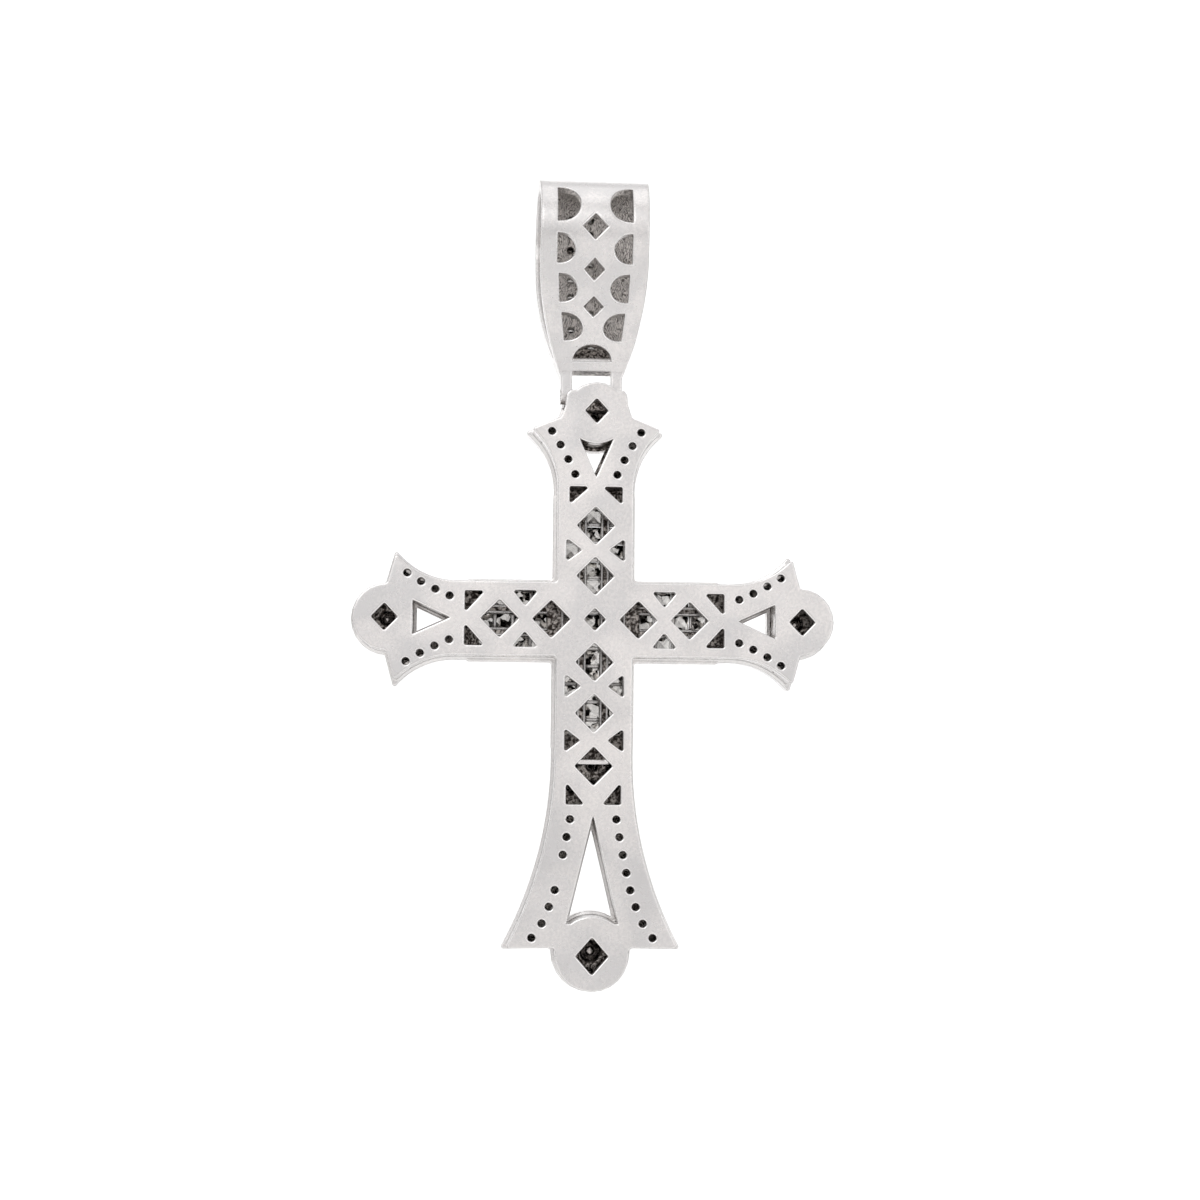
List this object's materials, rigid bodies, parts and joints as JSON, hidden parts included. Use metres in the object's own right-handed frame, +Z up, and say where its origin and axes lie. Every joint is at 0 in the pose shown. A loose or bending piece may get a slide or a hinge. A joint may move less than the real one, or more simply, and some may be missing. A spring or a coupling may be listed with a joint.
{
  "type": "cross pendant",
  "caption": "Pierced cross pendant with a stone-set front and flared ends, hinged below a tapering pierced bail.",
  "frame": {"origin": "chain seat: the top of the bail's inner wall, where the chain carries the pendant", "axes": "+Z up, +Y out of the stone-set front, -Y out of the pierced back that the picture shows, +X along the arms"},
  "size_m": [0.0308, 0.0071, 0.0519],
  "materials": {
    "cross_metal": "polished white metal, dark in the pierced hollows",
    "bail_metal": "polished white metal",
    "pin_metal": "drawn wire, filed flush",
    "channel_gems": "clear cut stones, nearly square",
    "flare_gems": "clear cut stones, round",
    "cluster_gems": "clear cut stones, round",
    "main_gems": "clear cut stones, round",
    "bail_gems": "clear cut stones, round"
  },
  "bodies": {
    "bail": {"bail_loop": "bail_metal", "bail_stones": "bail_gems", "hinge_pin": "pin_metal"},
    "cross": {"cross_frame": "cross_metal", "channel_stones": "channel_gems", "flare_stones": "flare_gems", "cluster_stones": "cluster_gems", "top_stone": "main_gems", "left_stone": "main_gems", "right_stone": "main_gems", "foot_stone": "main_gems"}
  },
  "joints": [
    {"name": "cross_swing", "type": "hinge", "parent": "bail", "child": "cross", "pos_m": [0, 0, -0.01328], "axis": [1, 0, 0], "range_deg": [-18, 18]}
  ]
}
